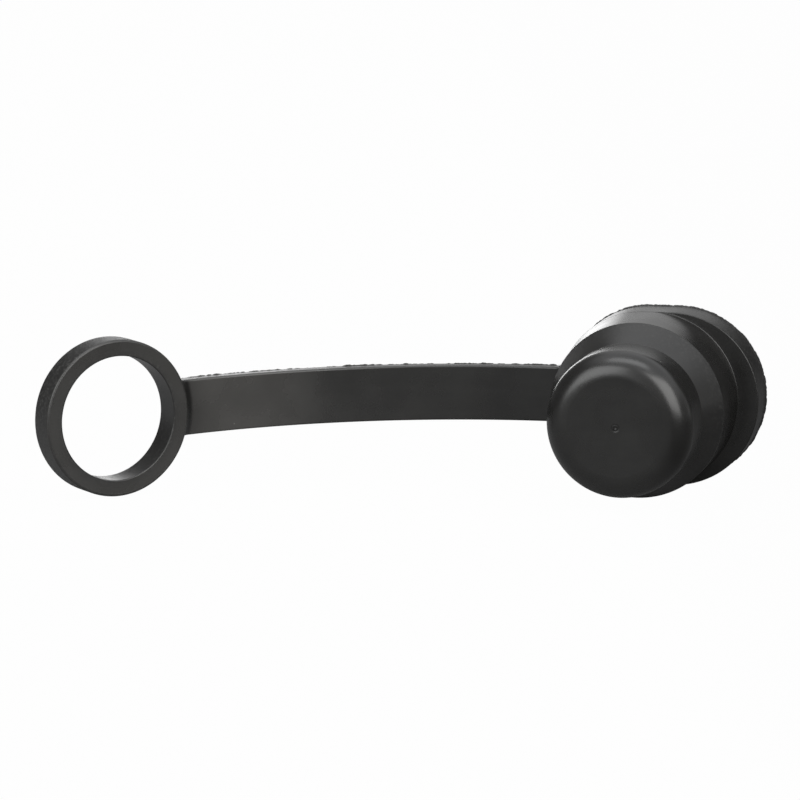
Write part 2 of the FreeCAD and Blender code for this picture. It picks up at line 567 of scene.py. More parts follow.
def refined(outline: Sequence[Triple]) -> List[Triple]:
    """The outline with long straight runs divided, so that its facets stay near square.

    Args:
        outline: (across, along, mark) of each point.

    Returns:
        The outline with the extra points.
    """
    points = [outline[0]]
    for before, after in zip(outline, outline[1:]):
        span = math.hypot(after[0] - before[0], after[1] - before[1])
        parts = max(1, math.ceil(span / LONGEST_RUN))
        for part in range(1, parts + 1):
            share = part / parts
            points.append(tuple(b + (a - b) * share for b, a in zip(before, after)))
    return points


class Shell:
    """A closed skin made of loops of points, each loop as long as the next."""

    def __init__(self, name: str) -> None:
        """Starts an empty skin.

        Args:
            name: the name of the mesh.
        """
        self.name = name
        self.loops: List[Loop] = []
        self.marks: List[np.ndarray] = []

    def add(self, loop: Loop, mark: Union[float, np.ndarray]) -> None:
        """Adds a loop.

        Args:
            loop: its points, one row each, in mm.
            mark: share of trimmed skin, for the loop or for each of its points.
        """
        self.loops.append(loop)
        self.marks.append(np.broadcast_to(np.asarray(mark, float), (len(loop),)).copy())

    def object(self, ring: bool, place: Matrix) -> bpy.types.Object:
        """Joins the loops into an object.

        Args:
            ring: whether the last loop joins the first; otherwise both ends are closed.
            place: from mm in the shell's frame to metres in the scene.

        Returns:
            The new object.
        """
        mesh = bpy.data.meshes.new(self.name)
        build = bmesh.new()
        layer = build.verts.layers.float.new(TRIM)
        rows: List[List[bmesh.types.BMVert]] = []
        for loop, marks in zip(self.loops, self.marks):
            row = []
            for point, mark in zip(loop, marks):
                vert = build.verts.new(place @ Vector(point))
                vert[layer] = float(mark)
                row.append(vert)
            rows.append(row)
        pairs = list(zip(rows, rows[1:]))
        if ring:
            pairs.append((rows[-1], rows[0]))
        for low, high in pairs:
            for index in range(len(low)):
                after = (index + 1) % len(low)
                build.faces.new((low[index], low[after], high[after], high[index]))
        if not ring:
            self.close(build, layer, rows[0], True)
            self.close(build, layer, rows[-1], False)
        bmesh.ops.recalc_face_normals(build, faces=build.faces)
        build.to_mesh(mesh)
        build.free()
        return linked(self.name, mesh)

    @staticmethod
    def close(build: bmesh.types.BMesh, layer: Any, row: List[bmesh.types.BMVert], flip: bool) -> None:
        """Closes an open end with a fan round its middle.

        Args:
            build: the mesh in work.
            layer: the layer that holds the share of trimmed skin.
            row: the end's points.
            flip: whether the fan is wound the other way.
        """
        middle = build.verts.new(sum((v.co for v in row), Vector()) / len(row))
        middle[layer] = row[0][layer]
        for index, vert in enumerate(row):
            after = row[(index + 1) % len(row)]
            build.faces.new((after, vert, middle) if flip else (vert, after, middle))


def finished_object(name: str, mesh: bpy.types.Mesh, material: bpy.types.Material) -> bpy.types.Object:
    """A smooth-shaded object with one material that rides on the part's body.

    Args:
        name: the piece's name.
        mesh: its mesh, in metres in the scene.
        material: its finish.

    Returns:
        The new object.
    """
    mesh.name = name
    mesh.materials.clear()
    mesh.materials.append(material)
    mesh.polygons.foreach_set("use_smooth", [True] * len(mesh.polygons))
    mesh.set_sharp_from_angle(angle=math.radians(CREASE_DEG))
    piece = linked(name, mesh)
    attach(piece, BODY)
    return piece


# The moulding, in mm with the plug's axis along Y, its nose towards -Y and the strap towards -X


@dataclass
class Plug:
    """Stepped hollow plug that widens into its oval flange on the strap's side."""

    nose_radius: float = 14.95
    nose_length: float = 12.9
    nose_round: float = 4.9
    shoulder_length: float = 6.9
    body_radius: float = 18.0
    body_length: float = 14.5
    body_flare: float = 0.35
    wall: float = 2.8
    gate_radius: float = 0.9
    gate_groove_radius: float = 0.66
    gate_groove_depth: float = 0.05
    gate_crown: Span = (0.30, 0.45)
    gate_crown_drop: float = 0.02
    gate_pit_radius: float = 0.10
    gate_pit_depth: float = 0.09
    gate_rounds: Tuple[float, ...] = (0.03, 0.08, 0.10, 0.15, 0.30)
    gate_middle: float = 0.02
    hollow_middle: float = 0.5
    mouth_margin: float = 0.6
    flange_thickness: float = 8.6
    flange_reach_at_strap: float = 1.6
    flange_reach_at_tab: float = 4.3
    edge_round: float = 0.5
    flange_edge_round: float = 0.2
    flange_root_round: float = 0.25
    inset: float = 0.32
    seam: float = 0.02
    lip_height: float = 0.29
    lip_depth: float = 0.32
    lip_lumps: Span = (9.0, 34.0)
    lip_shares: Span = (0.45, 0.65)
    lip_even: float = 0.80
    lip_lowest: float = 0.35
    lip_slope: float = 0.05
    round_share: float = 0.4
    face_margin: float = 1.3
    trim_ease: int = 6
    body_runs: int = 12
    rim_runs: int = 9
    segments: int = 360

    @property
    def flange_radius(self) -> float:
        """Radius of the flange's two end arcs."""
        return self.body_radius + self.body_flare

    @property
    def flange_front(self) -> float:
        """Height of the flange's front face along the axis."""
        return -self.flange_thickness

    @property
    def body_rim(self) -> float:
        """Height of the rim between body and shoulder."""
        return self.flange_front - self.body_length

    @property
    def flare_start(self) -> float:
        """Height at which the body starts to widen."""
        return self.body_rim + self.edge_round

    @property
    def shoulder_foot(self) -> float:
        """Height at which the shoulder runs into the nose."""
        return self.body_rim - self.shoulder_length

    @property
    def nose_face(self) -> float:
        """Height of the nose's flat face."""
        return self.shoulder_foot - self.nose_length

    @property
    def mouth_radius(self) -> float:
        """Radius at which the hollow's outline starts on the back face."""
        return self.body_radius - self.wall + 3 * self.edge_round

    def directions(self) -> np.ndarray:
        """Unit vectors round the axis, one to a segment."""
        angles = np.arange(self.segments) / self.segments * 2 * math.pi
        return np.stack([np.cos(angles), np.zeros(self.segments), np.sin(angles)], axis=1)

    def round_loop(self, radius: float, height: float) -> Loop:
        """Circle about the axis."""
        return self.directions() * radius + np.array([0.0, height, 0.0])

    def oval(self, radius: float, left: float, right: float) -> Tuple[Loop, Loop]:
        """Oval across the axis.

        Args:
            radius: radius of its end arcs.
            left: how far the arc on the strap's side is set off.
            right: how far the other arc is set off.

        Returns:
            Its points and its outward normals, one to a segment.
        """
        points, normals = [], []
        for across, _, up in self.directions():
            reach = radius / abs(up) if up else math.inf
            if -left <= reach * across <= right:
                points.append((reach * across, 0.0, reach * up))
                normals.append((0.0, 0.0, math.copysign(1.0, up)))
                continue
            centre = right if across > 0 else -left
            reach = across * centre + math.sqrt(radius ** 2 - (centre * up) ** 2)
            points.append((reach * across, 0.0, reach * up))
            normals.append(((reach * across - centre) / radius, 0.0, reach * up / radius))
        return np.array(points), np.array(normals)

    def body_end(self) -> Tuple[Loop, Loop]:
        """Outline of the body where it meets the flange, with its normals."""
        return self.oval(self.flange_radius - self.inset - self.seam, self.flange_reach_at_strap, 0.0)

    def rim(self) -> Tuple[Loop, Loop]:
        """Outline of the flange, with its normals."""
        radius = self.flange_radius - self.inset
        return self.oval(radius, self.flange_reach_at_strap, self.flange_reach_at_tab)

    def overhang(self) -> np.ndarray:
        """How far the flange stands out from the body at each segment, in mm."""
        return np.linalg.norm(self.rim()[0], axis=1) - np.linalg.norm(self.body_end()[0], axis=1)

    def shell(self) -> Shell:
        """The plug and flange as one skin, from the gate mark round the flange to the hollow's floor.

        Returns:
            The skin.
        """
        skin, satin = Shell("plug"), Surface.SATIN
        face, (crown_from, crown_to) = self.nose_face, self.gate_crown
        pit, crown = face + self.gate_pit_depth, face + self.gate_crown_drop
        in_pit, on_crown, off_crown, in_groove, at_face = self.gate_rounds
        outside = [
            (self.gate_middle, pit, 0, satin),
            (self.gate_pit_radius, pit, in_pit, satin),
            (crown_from, crown, on_crown, satin),
            (crown_to, crown, off_crown, satin),
            (self.gate_groove_radius, face + self.gate_groove_depth, in_groove, satin),
            (self.gate_radius, face, at_face, satin),
            (self.nose_radius, face, self.nose_round, satin),
            (self.nose_radius, self.shoulder_foot, self.edge_round, satin),
            (self.body_radius, self.body_rim, self.edge_round, Surface.EDGE),
            (self.body_radius, self.flare_start, 0, satin),
        ]
        body_bore, nose_bore = self.body_radius - self.wall, self.nose_radius - self.wall
        floor = face + self.wall
        hollow = [
            (self.mouth_radius, 0.0, 0, satin),
            (body_bore, 0.0, self.edge_round, satin),
            (body_bore, self.body_rim, self.edge_round, satin),
            (nose_bore, self.shoulder_foot, self.edge_round, satin),
            (nose_bore, floor, self.nose_round - self.wall, satin),
            (self.hollow_middle, floor, 0, satin),
        ]
        self.add_turned(skin, outside, 8)
        self.add_body(skin)
        self.add_flange(skin)
        self.add_turned(skin, hollow, 5)
        return skin

    def add_turned(self, skin: Shell, corners: Sequence[Corner], steps: int) -> None:
        """Adds an outline that is turned about the axis.

        Args:
            skin: the skin in work.
            corners: (radius, height, rounding, surface) of the outline's corners.
            steps: facets to a rounding.
        """
        for radius, height, mark in refined(rounded_outline(corners, steps, closed=False)):
            skin.add(self.round_loop(radius, height), mark)

    def add_body(self, skin: Shell) -> None:
        """Adds the body's widening wall and the hollow corner at the foot of the tab.

        Args:
            skin: the skin in work, which ends where the body starts to widen.
        """
        outline, front = self.body_end(), self.flange_front
        root = np.minimum(self.flange_root_round, self.round_share * self.overhang())
        start = self.round_loop(self.body_radius, self.flare_start)
        foot = offset_loop(outline, 0.0, front - root)
        for run in range(1, self.body_runs):
            skin.add(start + (foot - start) * run / self.body_runs, Surface.SATIN.value)
        for _, cosine, sine in quarter_turn(6):
            loop = offset_loop(outline, root * (1 - cosine), front - root * (1 - sine))
            skin.add(loop, Surface.SATIN.value)

    def add_flange(self, skin: Shell) -> None:
        """Adds the tab's front face, the flange's rim and its back face to the skin.

        Args:
            skin: the skin in work, which ends at the foot of the tab.
        """
        outline, overhang, front = self.rim(), self.overhang(), self.flange_front
        trimmed = Surface.TRIMMED.value
        edge_round = np.minimum(self.flange_edge_round, self.round_share * overhang)
        stands_out = np.clip(overhang, 0.0, 1.0) * Surface.EDGE.value
        inner = skin.loops[-1]
        edge = offset_loop(outline, -self.face_margin * edge_round, front)
        for share in (0.34, 0.67, 1.0):
            skin.add(inner + (edge - inner) * share, Surface.SATIN.value)
        for share, cosine, sine in quarter_turn(8):
            loop = offset_loop(outline, edge_round * (sine - 1), front + edge_round * (1 - cosine))
            skin.add(loop, stands_out * share)
        low, high = front + edge_round, -self.lip_depth
        for run in range(1, self.rim_runs):
            share = run / self.rim_runs
            mark = stands_out + (trimmed - stands_out) * share ** self.trim_ease
            skin.add(offset_loop(outline, 0.0, low + (high - low) * share), mark)
        lip, rim = self.lip(), 0.5 * self.flange_edge_round
        for share in (0.0, 0.6, 1.0):
            skin.add(offset_loop(outline, lip * share, high + self.lip_slope * share), trimmed)
        for _, cosine, sine in quarter_turn(8):
            skin.add(offset_loop(outline, lip + rim * (cosine - 1), -rim * (1 - sine)), trimmed)
        mouth = self.round_loop(self.mouth_radius + self.mouth_margin, 0.0)
        edge = offset_loop(outline, -(rim + HOLD), 0.0)
        skin.add(edge, Surface.EDGE.value)
        for share in (0.5, 1.0):
            skin.add(edge + (mouth - edge) * share, Surface.SATIN.value)

    def lip(self) -> np.ndarray:
        """Height of the torn lip along the flange's back rim.

        Returns:
            The height at each segment, in mm.
        """
        (coarse_lumps, fine_lumps), (coarse_share, fine_share) = self.lip_lumps, self.lip_shares
        heights = []
        for across, _, up in self.directions().tolist():
            coarse = eased_noise(across * coarse_lumps, 3.7, up * coarse_lumps)
            fine = eased_noise(across * fine_lumps, 8.1, up * fine_lumps)
            share = self.lip_even + coarse * coarse_share + fine * fine_share
            heights.append(min(1.0, max(self.lip_lowest, share)))
        return np.array(heights) * self.lip_height


@dataclass
class RetainingRing:
    """Plain ring of oblong section, drawn about Y."""

    radius: float = 16.04
    bore_radius: float = 12.7
    thickness: float = 6.0
    edge_round: float = 0.5
    bore_edge_round: float = 0.25
    nibble: float = 0.10
    chip_lumps: Span = (8.0, 31.0)
    chip_share: float = 0.6
    wall_margin: float = 0.05
    segments: int = 220

    def shell(self) -> Shell:
        """The ring's skin, its front face towards -Y.

        Returns:
            The skin.
        """
        half, edge = self.thickness / 2, Surface.EDGE
        corners = [
            (self.bore_radius, -half, self.bore_edge_round, edge),
            (self.radius, -half, self.edge_round, edge),
            (self.radius, half, self.edge_round, Surface.TRIMMED),
            (self.bore_radius, half, self.bore_edge_round, edge),
        ]
        outline = self.marked(rounded_outline(corners, 8, closed=True))
        marks = np.array([mark for _, _, mark in outline])
        skin = Shell("ring")
        coarse_lumps, fine_lumps = self.chip_lumps
        for turn in range(self.segments):
            angle = turn / self.segments * 2 * math.pi
            c, s = math.cos(angle), math.sin(angle)
            coarse = eased_noise(c * coarse_lumps, 21.3, s * coarse_lumps)
            fine = eased_noise(c * fine_lumps, 5.2, s * fine_lumps)
            chip = max(0.0, coarse * self.chip_share + fine * self.chip_share)
            rows = []
            for across, along, _ in outline:
                near = max(0.0, 1.0 - math.hypot(across - self.radius, along - half) / self.edge_round)
                reach = across - chip * near * self.nibble
                rows.append((reach * c, along, reach * s))
            skin.add(np.array(rows), marks)
        return skin

    def marked(self, outline: List[Triple]) -> List[Triple]:
        """The outline with its walls divided and each point marked by the wall that it is on.

        Args:
            outline: (across, along, mark) of each point.

        Returns:
            The outline with its marks set.
        """
        margin = self.edge_round + self.wall_margin
        out = []
        for across, along, mark in refined(outline + [outline[0]])[:-1]:
            on_wall = abs(along) < self.thickness / 2 - margin
            if on_wall and across > (self.radius + self.bore_radius) / 2:
                mark = Surface.TRIMMED.value
            elif on_wall:
                mark = Surface.EDGE.value
            elif self.bore_radius + margin < across < self.radius - margin:
                mark = Surface.SATIN.value
            out.append((across, along, mark))
        return out


@dataclass
class Strap:
    """Flat strap in one even bend, with hollow corners where it leaves the flange and meets the ring."""

    width: float = 11.5
    thickness: float = 3.0
    setback: float = 0.5
    length: float = 81.6
    bend_deg: float = 47.0
    edge_round: float = 0.4
    root_round: float = 2.5
    front_root_round: float = 2.6
    sink: float = 0.03
    bend_stations: int = 160
    root_stations: int = 16
    face_rows: int = 8
    side_rows: int = 3
    root_overlap: Span = (0.5, 0.02)
    side_mark: float = 0.4
    side_from: float = 0.7

    def root_end(self, rim: float) -> float:
        """Distance from a rim's centre at which the hollow corners run into the strap's sides."""
        return math.sqrt((rim + self.root_round) ** 2 - (self.width / 2 + self.root_round) ** 2)

    def root_widths(self, rim: float) -> List[Span]:
        """The root from the strap inwards.

        Args:
            rim: radius of the rim that the strap runs into.

        Returns:
            (distance from the rim's centre, half width) of each station, the last one inside the rim.
        """
        sunk = rim - self.sink
        corner_x = math.sqrt((sunk + self.root_round) ** 2 - (self.width / 2 + self.root_round) ** 2)
        corner_z = self.width / 2 + self.root_round
        reach = math.atan2(corner_x, corner_z)
        stations = []
        for step in range(self.root_stations + 1):
            angle = reach * step / self.root_stations
            x = corner_x - self.root_round * math.sin(angle)
            stations.append((x, corner_z - self.root_round * math.cos(angle)))
        stations.append(tuple(last - over for last, over in zip(stations[-1], self.root_overlap)))
        return stations

    def section(self, half_width: float) -> List[Triple]:
        """Rounded oblong section.

        Args:
            half_width: half its height.

        Returns:
            (offset along the strap's normal, height, mark) of each point; the front is at minus.
        """
        front, back = -self.thickness / 2, self.thickness / 2 - self.sink
        places = ((front, -half_width), (back, -half_width), (back, half_width), (front, half_width))
        corners = [(*place, self.edge_round, Surface.EDGE) for place in places]
        outline = rounded_outline(corners, 7, closed=True)
        out = []
        for index, (across, up, _) in enumerate(outline):
            after = outline[(index + 1) % len(outline)]
            on_side = abs(up) > half_width - self.edge_round * self.side_from
            mark = Surface.EDGE.value * self.side_mark if on_side else 0.0
            out.append((across, up, mark))
            rows = 1
            if abs(after[1] - up) > half_width:
                rows = self.face_rows
            elif abs(after[0] - across) > self.thickness / 2:
                rows = self.side_rows
            for row in range(1, rows):
                share = row / rows
                place = (across + (after[0] - across) * share, up + (after[1] - up) * share)
                out.append((*place, mark if abs(place[1]) > half_width - self.edge_round else 0.0))
        return out


@dataclass
class Moulding:
    """The whole piece: where its members lie in the plug's frame, and its skin."""

    plug: Plug
    ring: RetainingRing
    strap: Strap
    place: Matrix

    @property
    def bend(self) -> float:
        """The strap's bend in radians."""
        return math.radians(self.strap.bend_deg)

    @property
    def bend_radius(self) -> float:
        """Radius of the strap's middle layer."""
        roots = sum(self.strap.root_end(rim) - rim for rim in (self.plug.flange_radius, self.ring.radius))
        return (self.strap.length - roots) / self.bend

    @property
    def strap_middle(self) -> float:
        """Height of the strap's middle layer along the plug's axis, where it leaves the flange."""
        return self.plug.flange_front + self.strap.setback + self.strap.thickness / 2

    @property
    def bend_start(self) -> np.ndarray:
        """Where the bend begins."""
        reach = self.plug.flange_reach_at_strap + self.strap.root_end(self.plug.flange_radius)
        return np.array([-reach, self.strap_middle, 0.0])

    @staticmethod
    def back_way(angle: float) -> np.ndarray:
        """The way the strap's back looks at an angle of its bend."""
        return np.array([-math.sin(angle), math.cos(angle), 0.0])

    @property
    def ring_normal(self) -> np.ndarray:
        """The way the ring's front face looks."""
        return np.array([math.sin(self.bend), -math.cos(self.bend), 0.0])

    @property
    def ring_outward(self) -> np.ndarray:
        """From the strap's end towards the ring's middle."""
        return np.array([-math.cos(self.bend), -math.sin(self.bend), 0.0])

    def on_bend(self, angle: float, offset: float) -> np.ndarray:
        """A point of the bend.

        Args:
            angle: how far round the bend it lies, in radians.
            offset: how far behind the middle layer it lies, in mm.

        Returns:
            The point.
        """
        centre = self.bend_start - ALONG * self.bend_radius
        return centre + self.back_way(angle) * (self.bend_radius + offset)

    @property
    def ring_seat(self) -> np.ndarray:
        """Where the strap's middle layer, run on straight, meets the ring's axis."""
        return self.on_bend(self.bend, 0.0) + self.ring_outward * self.strap.root_end(self.ring.radius)

    @property
    def ring_middle(self) -> np.ndarray:
        """The middle of the ring."""
        return self.ring_seat + self.ring_normal * (self.ring.thickness - self.strap.thickness) / 2

    def ring_place(self) -> Matrix:
        """From the ring's own frame to the scene."""
        turn = Matrix.Rotation(self.bend, 4, "Z")
        return self.place @ Matrix.Translation(Vector(self.ring_middle)) @ turn

    def strap_shell(self) -> Shell:
        """The strap's skin, from inside the flange to inside the ring.

        Returns:
            The skin.
        """
        skin = Shell("strap")
        flange_x = -self.plug.flange_reach_at_strap
        for distance, half_width in reversed(self.strap.root_widths(self.plug.flange_radius)):
            foot = np.array([flange_x - distance, self.strap_middle, 0.0])
            self.add_section(skin, foot, ALONG, half_width)
        for station in range(1, self.strap.bend_stations):
            angle = self.bend * station / self.strap.bend_stations
            foot = self.on_bend(angle, 0.0)
            self.add_section(skin, foot, self.back_way(angle), self.strap.width / 2)
        for distance, half_width in self.strap.root_widths(self.ring.radius):
            foot = self.ring_seat - self.ring_outward * distance
            self.add_section(skin, foot, -self.ring_normal, half_width)
        return skin

    def add_section(self, skin: Shell, foot: np.ndarray, back: np.ndarray, half_width: float) -> None:
        """Adds one station of the strap to its skin.

        Args:
            skin: the skin in work.
            foot: the station's place on the middle layer.
            back: the way the strap's back looks there.
            half_width: half the strap's width there.
        """
        outline = self.strap.section(half_width)
        points = []
        for across, up, _ in outline:
            point = foot + back * across + np.array([0.0, 0.0, up])
            points.append(point - back * self.front_rise(point) if across < 0 else point)
        skin.add(np.array(points), np.array([mark for _, _, mark in outline]))

    def front_rise(self, point: np.ndarray) -> float:
        """Height of the hollow corner that runs up from the strap's front to the ring's rim.

        Args:
            point: a point of the strap's front.

        Returns:
            How far the corner stands over the point, in mm.
        """
        corner, toward = self.strap.front_root_round, point - self.ring_middle
        apart = math.hypot(float(toward @ self.ring_outward), float(toward[2])) - self.ring.radius
        short = corner - min(corner, max(0.05, apart))
        return corner - math.sqrt(corner ** 2 - short ** 2)

    def build(self, material: bpy.types.Material) -> bpy.types.Object:
        """Joins plug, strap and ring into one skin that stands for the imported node.

        Args:
            material: the moulding's finish.

        Returns:
            The finished piece.
        """
        members = [
            self.plug.shell().object(False, self.place),
            self.strap_shell().object(False, self.place),
            self.ring.shell().object(True, self.ring_place()),
        ]
        marks = self.marks_of(members)
        whole = members[0]
        for other in members[1:]:
            join = whole.modifiers.new("join_" + other.name, "BOOLEAN")
            join.operation = "UNION"
            join.solver = "EXACT"
            join.object = other
        bpy.context.view_layer.update()
        mesh = bpy.data.meshes.new_from_object(whole.evaluated_get(bpy.context.evaluated_depsgraph_get()))
        for member in members:
            bpy.data.objects.remove(member)
        self.mark_skin(mesh, marks)
        piece = finished_object("moulded_cap", mesh, material)
        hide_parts(NODE)
        return piece

    @staticmethod
    def marks_of(members: Sequence[bpy.types.Object]) -> Tuple[kdtree.KDTree, List[float]]:
        """The members' points with their share of trimmed skin.

        Args:
            members: the separate skins.

        Returns:
            A search tree of the points, and their marks in the same order.
        """
        spots: List[Vector] = []
        marks: List[float] = []
        for member in members:
            layer = member.data.attributes[TRIM].data
            for vert in member.data.vertices:
                spots.append(vert.co.copy())
                marks.append(layer[vert.index].value)
        tree = kdtree.KDTree(len(spots))
        for index, spot in enumerate(spots):
            tree.insert(spot, index)
        tree.balance()
        return tree, marks

    @staticmethod
    def mark_skin(mesh: bpy.types.Mesh, marks: Tuple[kdtree.KDTree, List[float]]) -> None:
        """Gives the joined skin the share of trimmed skin of the nearest point of its members.

        Args:
            mesh: the joined skin.
            marks: the members' points and marks.
        """
        tree, shares = marks
        old = mesh.attributes.get(TRIM)
        if old is not None:
            mesh.attributes.remove(old)
        layer = mesh.attributes.new(TRIM, "FLOAT", "POINT")
        layer.data.foreach_set("value", [shares[tree.find(v.co)[1]] for v in mesh.vertices])


@dataclass
class PartingFlash:
    """Thin torn fin that the mould leaves along the strap's back edges and the ring's back rim."""

    moulding: Moulding
    height: float = 0.30
    ring_height: float = 0.10
    half_base: float = 0.07
    depth: float = 0.10
    stations: int = 420
    tuft_lumps: Triple = (0.11, 0.75, 2.3)
    tuft_shares: Triple = (0.7, 0.8, 0.35)
    tuft_rows: Triple = (0.3, 4.1, 9.7)
    tuft_even: float = 0.30
    ring_span_deg: Span = (35.0, 150.0)
    ring_ease: float = 6.0
    strap_seed: float = 5.0
    ring_seed: float = 17.0
    strap_edge_share: float = 0.8
    ring_edge_share: float = 1.2
    foot_sink: float = 0.02

    def build(self, material: bpy.types.Material) -> bpy.types.Object:
        """Makes the fins as one piece.

        Args:
            material: the moulding's finish.

        Returns:
            The finished piece.
        """
        fins = [self.strap_fin(side).object(False, self.moulding.place) for side in StrapSide]
        fins.append(self.ring_fin().object(False, self.moulding.ring_place()))
        build = bmesh.new()
        for fin in fins:
            build.from_mesh(fin.data)
            bpy.data.objects.remove(fin)
        mesh = bpy.data.meshes.new("parting_flash")
        build.to_mesh(mesh)
        build.free()
        return finished_object("parting_flash", mesh, material)

    def torn(self, along: float, seed: float) -> float:
        """Height of a fin as a share of its full height: long low stretches with short torn tufts.

        Args:
            along: place along the fin, in mm.
            seed: which fin it is.

        Returns:
            A share from 0 to 1.
        """
        height = self.tuft_even
        for lumps, share, row in zip(self.tuft_lumps, self.tuft_shares, self.tuft_rows):
            height += eased_noise(along * lumps, seed, row) * share
        return max(0.0, min(1.0, height))

    def fin_loop(self, foot: np.ndarray, out: np.ndarray, side: np.ndarray, height: float) -> Loop:
        """Three-cornered section of a fin.

        Args:
            foot: the point on the skin that it stands on.
            out: the way that it stands.
            side: the way that its base lies.
            height: how far it stands out, in mm.

        Returns:
            The section's points.
        """
        base = foot - out * self.depth
        return np.array([base - side * self.half_base, base + side * self.half_base, foot + out * height])

    def strap_fin(self, side: StrapSide) -> Shell:
        """Fin along one back edge of the strap.

        Args:
            side: the strap's upper or lower side.

        Returns:
            The fin's skin.
        """
        strap, skin = self.moulding.strap, Shell("strap_fin")
        up = np.array([0.0, 0.0, side.value])
        offset = strap.thickness / 2 - strap.edge_round * self.strap_edge_share
        for station in range(self.stations + 1):
            angle = self.moulding.bend * station / self.stations
            back = self.moulding.back_way(angle)
            share = self.torn(angle * self.moulding.bend_radius, side.value * self.strap_seed)
            foot = self.moulding.on_bend(angle, offset) + up * (strap.width / 2 - self.foot_sink)
            skin.add(self.fin_loop(foot, up, back, share * self.height), Surface.TRIMMED.value)
        return skin

    def ring_fin(self) -> Shell:
        """Fin on the upper part of the ring's back rim, clear of the strap and of the table.

        Returns:
            The fin's skin.
        """
        ring, skin = self.moulding.ring, Shell("ring_fin")
        first, last = (math.radians(angle) for angle in self.ring_span_deg)
        height = ring.thickness / 2 - ring.edge_round * self.ring_edge_share
        for station in range(self.stations + 1):
            share = station / self.stations
            angle = first + (last - first) * share
            out = np.array([math.cos(angle), 0.0, math.sin(angle)])
            ease = min(1.0, self.ring_ease * share, self.ring_ease * (1.0 - share))
            tall = self.torn(angle * ring.radius, self.ring_seed) * self.ring_height * ease
            foot = out * (ring.radius - self.foot_sink) + ALONG * height
            skin.add(self.fin_loop(foot, out, ALONG, tall), Surface.TRIMMED.value)
        return skin


# Studio


@dataclass(frozen=True)
class PhotoCamera:
    """The photograph's viewpoint, given by how the plug's nose lies in the picture."""

    picture: float = 800.0
    focal: float = 4000.0
    turn_deg: float = 15.506
    tilt_deg: float = 8.866
    roll_deg: float = -0.350
    nose_px: Span = (615.04, 428.14)
    distance: float = 790.96 * MM
    sensor: float = 36.0
    clip: Span = (0.01, 50.0)

    def axes(self) -> Tuple[Vector, Vector, Vector]:
        """The camera's own directions.

        Returns:
            Its right, down and forward directions.
        """
        turn, tilt, roll = (math.radians(a) for a in (self.turn_deg, self.tilt_deg, self.roll_deg))
        right = Vector((math.cos(turn), math.sin(turn), 0.0))
        level = Vector((-math.sin(turn), math.cos(turn), 0.0))
        forward = level * math.cos(tilt) - Vector((0.0, 0.0, math.sin(tilt)))
        down = -(level * math.sin(tilt) + Vector((0.0, 0.0, math.cos(tilt))))
        rolled_right = right * math.cos(roll) + down * math.sin(roll)
        rolled_down = down * math.cos(roll) - right * math.sin(roll)
        return rolled_right, rolled_down, forward

    def build(self, nose: Vector) -> bpy.types.Object:
        """Makes the scene's camera.

        Args:
            nose: the middle of the plug's nose face, in metres.

        Returns:
            The camera.
        """
        right, down, forward = self.axes()
        middle = self.picture / 2
        across = (self.nose_px[0] - middle) / self.focal * self.distance
        below = (self.nose_px[1] - middle) / self.focal * self.distance
        eye = nose - forward * self.distance - right * across - down * below
        data = bpy.data.cameras.new("photo_camera")
        data.sensor_fit = "HORIZONTAL"
        data.sensor_width = self.sensor
        data.lens = self.focal / self.picture * self.sensor
        data.clip_start, data.clip_end = self.clip
        camera = linked("photo_camera", data)
        turn = Matrix((right, -down, -forward)).transposed().to_4x4()
        camera.matrix_world = Matrix.Translation(eye) @ turn
        bpy.context.scene.camera = camera
        return camera


@dataclass(frozen=True)
class SoftBox:
    """A rectangular soft lamp that looks at the part."""

    name: str
    place: Triple
    size: Span
    radiance: float
    colour: Colour

    def build(self, target: Vector) -> bpy.types.Object:
        """Makes the lamp.

        Args:
            target: the point that it looks at.

        Returns:
            The lamp.
        """
        data = bpy.data.lights.new(self.name, "AREA")
        data.shape = "RECTANGLE"
        data.size, data.size_y = self.size
        data.energy = self.radiance * math.pi * self.size[0] * self.size[1]
        data.color = self.colour
        lamp = linked(self.name, data)
        spot = Vector(self.place)
        lamp.location = spot
        lamp.rotation_euler = (target - spot).to_track_quat("-Z", "Y").to_euler()
        return lamp


